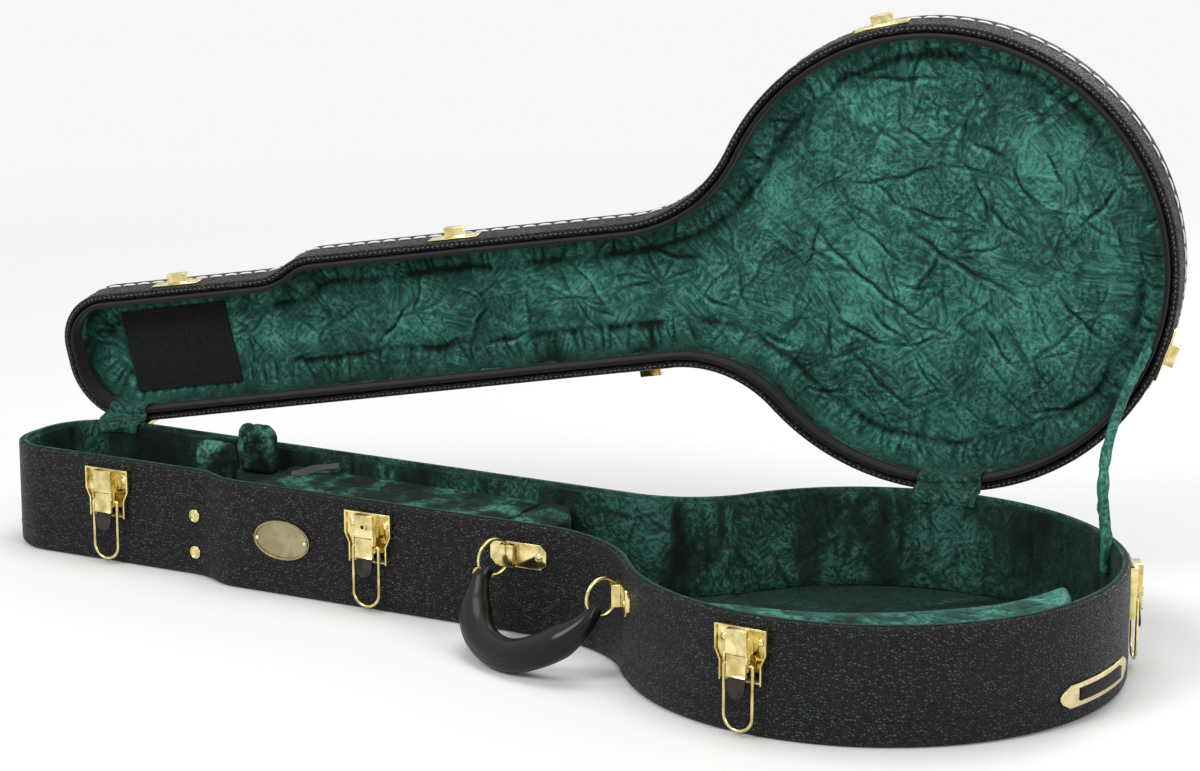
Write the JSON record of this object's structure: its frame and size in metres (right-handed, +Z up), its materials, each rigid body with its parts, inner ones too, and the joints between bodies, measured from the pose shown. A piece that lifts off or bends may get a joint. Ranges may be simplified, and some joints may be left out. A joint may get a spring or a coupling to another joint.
{
  "type": "banjo case",
  "caption": "Hard case for a resonator banjo, standing open: round body, long neck, plush lining, padded neck cradle, accessory compartment, drawbolt latches and a hanging handle",
  "frame": {"origin": "centre of the round body, on the underside that the case stands on", "axes": "+X runs along the hinge line from the headstock to the body end, +Y from the front with the handle to the hinges, +Z up; the lid stands open at rest"},
  "size_m": [1.0164, 0.4621, 0.4937],
  "materials": {
    "leatherette": "black pebble-grain covering",
    "plush": "deep green crushed plush",
    "gold": "polished gold plating",
    "brass": "aged satin brass",
    "grip_leather": "smooth black leather",
    "black_fabric": "black cloth",
    "grey_ribbon": "dark grey woven ribbon"
  },
  "bodies": {
    "base": {"base_bottom_panel": "leatherette", "base_side_wall": "leatherette", "base_floor_lining": "plush", "base_wall_lining": "plush", "cradle_block": "plush", "cradle_rear_prong": "plush", "cradle_front_prong": "plush", "compartment_end_block": "plush", "resonator_bolster": "plush", "head_hinge_base_leaf": "gold", "head_hinge_pin": "gold", "body_hinge_base_leaf": "gold", "body_hinge_pin": "gold", "head_hinge_cover": "plush", "body_hinge_cover": "plush", "head_latch_plate": "gold", "neck_latch_plate": "gold", "front_latch_plate": "gold", "end_latch_plate": "gold", "waist_latch_plate": "gold", "lock_cylinder": "gold", "neck_staple": "gold", "body_staple": "gold", "cradle_rivet_upper": "gold", "cradle_rivet_lower": "gold", "end_block_rivet_upper": "gold", "end_block_rivet_lower": "gold", "oval_plate": "brass", "end_plate": "brass", "end_plate_inlay": "black_fabric", "stay_strap": "plush"},
    "lid": {"lid_top_panel": "leatherette", "lid_side_wall": "leatherette", "lid_valance": "black_fabric", "lid_panel_lining": "plush", "lid_wall_lining": "plush", "lid_pad": "black_fabric", "head_hinge_lid_leaf": "gold", "body_hinge_lid_leaf": "gold", "head_catch": "gold", "neck_catch": "gold", "front_catch": "gold", "end_catch": "gold", "waist_catch": "gold"},
    "compartment_lid": {"compartment_lid": "plush", "compartment_lid_ribbon": "grey_ribbon"},
    "handle": {"handle_grip": "grip_leather", "neck_handle_ring": "gold", "body_handle_ring": "gold"},
    "head_lever": {"head_latch_lever": "gold"},
    "head_bail": {"head_latch_bail": "gold"},
    "neck_lever": {"neck_latch_lever": "gold"},
    "neck_bail": {"neck_latch_bail": "gold"},
    "front_lever": {"front_latch_lever": "gold"},
    "front_bail": {"front_latch_bail": "gold"},
    "end_lever": {"end_latch_lever": "gold"},
    "end_bail": {"end_latch_bail": "gold"},
    "waist_lever": {"waist_latch_lever": "gold"},
    "waist_bail": {"waist_latch_bail": "gold"}
  },
  "joints": [
    {"name": "lid_hinge", "type": "hinge", "parent": "base", "child": "lid", "pos_m": [0, 0.2032, 0.0844], "axis": [1, 0, 0], "range_deg": [0, 84.6], "deforming": ["head_hinge_cover", "body_hinge_cover", "stay_strap"]},
    {"name": "head_lever_hinge", "type": "hinge", "parent": "base", "child": "head_lever", "pos_m": [-0.70297, 0.0595, 0.0605], "axis": [0.987, -0.1605, 0], "range_deg": [-100, 0]},
    {"name": "head_bail_hinge", "type": "hinge", "parent": "head_lever", "child": "head_bail", "pos_m": [-0.70254, 0.06216, 0.057], "axis": [-0.987, 0.1605, 0], "range_deg": [0, 168]},
    {"name": "neck_lever_hinge", "type": "hinge", "parent": "base", "child": "neck_lever", "pos_m": [-0.43272, -0.00066, 0.0605], "axis": [0.987, -0.1605, 0], "range_deg": [-100, 0]},
    {"name": "neck_bail_hinge", "type": "hinge", "parent": "neck_lever", "child": "neck_bail", "pos_m": [-0.43228, 0.00201, 0.057], "axis": [-0.987, 0.1605, 0], "range_deg": [0, 168]},
    {"name": "front_lever_hinge", "type": "hinge", "parent": "base", "child": "front_lever", "pos_m": [-0.0504, -0.20366, 0.0605], "axis": [0.9707, -0.2402, 0], "range_deg": [-100, 0]},
    {"name": "front_bail_hinge", "type": "hinge", "parent": "front_lever", "child": "front_bail", "pos_m": [-0.04975, -0.20103, 0.057], "axis": [-0.9707, 0.2402, 0], "range_deg": [0, 168]},
    {"name": "end_lever_hinge", "type": "hinge", "parent": "base", "child": "end_lever", "pos_m": [0.19715, 0.07176, 0.0605], "axis": [-0.342, 0.9397, 0], "range_deg": [-100, 0]},
    {"name": "end_bail_hinge", "type": "hinge", "parent": "end_lever", "child": "end_bail", "pos_m": [0.19461, 0.07083, 0.057], "axis": [0.342, -0.9397, 0], "range_deg": [0, 168]},
    {"name": "waist_lever_hinge", "type": "hinge", "parent": "base", "child": "waist_lever", "pos_m": [-0.25525, 0.12296, 0.0605], "axis": [-0.9846, 0.1746, 0], "range_deg": [-100, 0]},
    {"name": "waist_bail_hinge", "type": "hinge", "parent": "waist_lever", "child": "waist_bail", "pos_m": [-0.25572, 0.1203, 0.057], "axis": [0.9846, -0.1746, 0], "range_deg": [0, 168]},
    {"name": "compartment_lid_hinge", "type": "hinge", "parent": "base", "child": "compartment_lid", "pos_m": [-0.32619, 0.05781, 0.0773], "axis": [-0.1745, -0.9847, 0], "range_deg": [-95, 0]},
    {"name": "handle_hinge", "type": "hinge", "parent": "base", "child": "handle", "pos_m": [-0.30756, -0.02802, 0.0674], "axis": [0.8394, -0.5436, 0], "range_deg": [-70, 34]}
  ]
}
